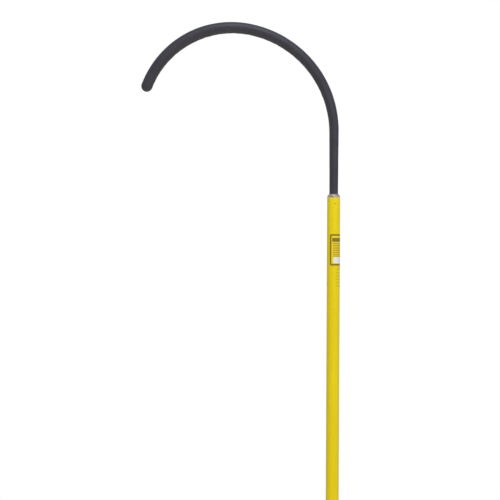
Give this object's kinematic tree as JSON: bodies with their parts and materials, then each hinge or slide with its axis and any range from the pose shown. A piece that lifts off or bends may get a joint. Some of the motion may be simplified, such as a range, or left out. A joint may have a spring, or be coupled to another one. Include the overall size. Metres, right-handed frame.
{
  "type": "insulated rescue hook stick",
  "caption": "Long round fibreglass pole with a steel crook in a soft black coating on a metal ferrule, for pulling a person clear of live parts.",
  "frame": {"origin": "middle of the butt plug's flat foot, on the pole's axis", "axes": "+Z along the pole towards the hook, -X the way the hook opens, -Y the side that the label faces"},
  "size_m": [0.4909, 0.0319, 2.26],
  "materials": {
    "fibreglass_yellow": "satin coat over filament winding",
    "ferrule_aluminium": "turned",
    "bond_epoxy": "cured resin",
    "hook_steel": "cold drawn",
    "dip_coating_black": "dipped, satin",
    "sealant_grey": "cured bead",
    "pin_steel": "ground",
    "filler_yellow": "tinted resin",
    "foam_white": "closed-cell foam",
    "seal_resin": "cured resin",
    "plug_rubber": "moulded",
    "label_yellow": "printed film"
  },
  "bodies": {
    "root": {"pole_tube": "fibreglass_yellow", "head_ferrule": "ferrule_aluminium", "ferrule_bond_ring": "bond_epoxy", "hook_rod": "hook_steel", "hook_coating": "dip_coating_black", "shank_seal": "sealant_grey", "upper_cross_pin": "pin_steel", "lower_cross_pin": "pin_steel", "pin_hole_fillers": "filler_yellow", "foam_core": "foam_white", "upper_foam_seal": "seal_resin", "lower_foam_seal": "seal_resin", "butt_plug": "plug_rubber", "pole_label": "label_yellow"}
  },
  "joints": []
}
